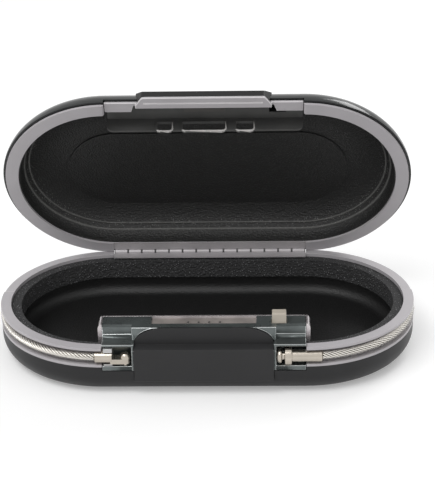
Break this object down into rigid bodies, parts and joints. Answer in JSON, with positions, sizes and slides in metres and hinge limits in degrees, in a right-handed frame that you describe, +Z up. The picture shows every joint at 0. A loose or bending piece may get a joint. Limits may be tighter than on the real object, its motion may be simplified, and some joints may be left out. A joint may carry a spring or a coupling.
{
  "type": "portable safe",
  "caption": "Small portable safe: stadium-shaped base and domed lid on a piano hinge, a front lock housing with sliding bolts, and a detachable security cable round the base.",
  "frame": {"origin": "centre of the underside, on the surface the safe rests on", "axes": "+X to the right along the length, +Y from the front lock to the hinge, +Z up; the lid is stored standing open"},
  "size_m": [0.246, 0.1438, 0.1533],
  "materials": {
    "case_black": "matte black, fine grain",
    "lid_black": "gloss black",
    "cover_black": "matte charcoal",
    "rim_silver": "satin silver grey",
    "liner_black": "pebbled black",
    "foam_grey": "coarse grey foam",
    "smoke_chrome": "dark smoky chrome",
    "cover_steel": "bright plated steel",
    "screw_steel": "plated steel",
    "coil_copper": "enamelled copper wire",
    "cable_steel": "stranded steel under a clear sheath",
    "ferrule_nickel": "warm nickel plate",
    "hinge_steel": "satin steel",
    "ivory": "satin ivory",
    "board_green": "green circuit board",
    "inner_black": "plain black",
    "port_steel": "plated steel",
    "cell_wrap": "wrapped cell",
    "contact_nickel": "nickel plate",
    "bezel_black": "dark satin ring",
    "sensor_black": "smooth dark sensor",
    "led_clear": "green lens"
  },
  "bodies": {
    "base": {"base_shell": "case_black", "base_rim_rear": "rim_silver", "base_rim_left": "rim_silver", "base_rim_right": "rim_silver", "base_liner": "liner_black", "base_liner_ring": "foam_grey", "front_cover": "cover_black", "lock_housing": "smoke_chrome", "housing_rear_cover": "cover_steel", "housing_bosses": "smoke_chrome", "cover_screws": "screw_steel", "solenoid_coil": "coil_copper", "solenoid_frame": "screw_steel", "security_cable": "cable_steel", "anchor_ferrule": "ferrule_nickel", "anchor_rivet": "ferrule_nickel", "anchor_clip": "screw_steel", "cable_plug": "ferrule_nickel", "release_spring": "screw_steel", "control_board": "board_green", "board_standoffs": "inner_black", "charge_port": "port_steel", "battery_cell": "cell_wrap", "cell_pad": "foam_grey", "contact_block": "inner_black", "contact_pins": "contact_nickel", "hinge_base_leaf": "hinge_steel", "hinge_base_rivets": "hinge_steel", "hinge_pin": "hinge_steel"},
    "lid": {"lid_shell": "lid_black", "lid_rim": "rim_silver", "lid_front_flange": "rim_silver", "lid_visor": "case_black", "strike_plate": "smoke_chrome", "lid_liner": "liner_black", "reader_bezel": "bezel_black", "reader_sensor": "sensor_black", "reader_board": "board_green", "status_led": "led_clear", "lid_contacts": "contact_nickel", "hinge_lid_leaf": "hinge_steel", "hinge_lid_rivets": "hinge_steel"},
    "bolt": {"bolt_bar": "screw_steel", "solenoid_plunger": "screw_steel"},
    "release": {"cable_release_button": "ivory", "latch_blade": "screw_steel"}
  },
  "joints": [
    {"name": "lid_hinge", "type": "hinge", "parent": "base", "child": "lid", "pos_m": [0, 0.063, 0.02965], "axis": [-1, 0, 0], "range_deg": [-66.3, 23.7]},
    {"name": "bolt_slide", "type": "slide", "parent": "base", "child": "bolt", "axis": [0, 1, 0], "range_m": [0, 0.004]},
    {"name": "cable_release", "type": "slide", "parent": "base", "child": "release", "axis": [0, 0, 1], "range_m": [-0.0054, 0], "stiffness_N_per_m": 150, "springref_m": 0.002, "deforming": ["release_spring"]}
  ]
}
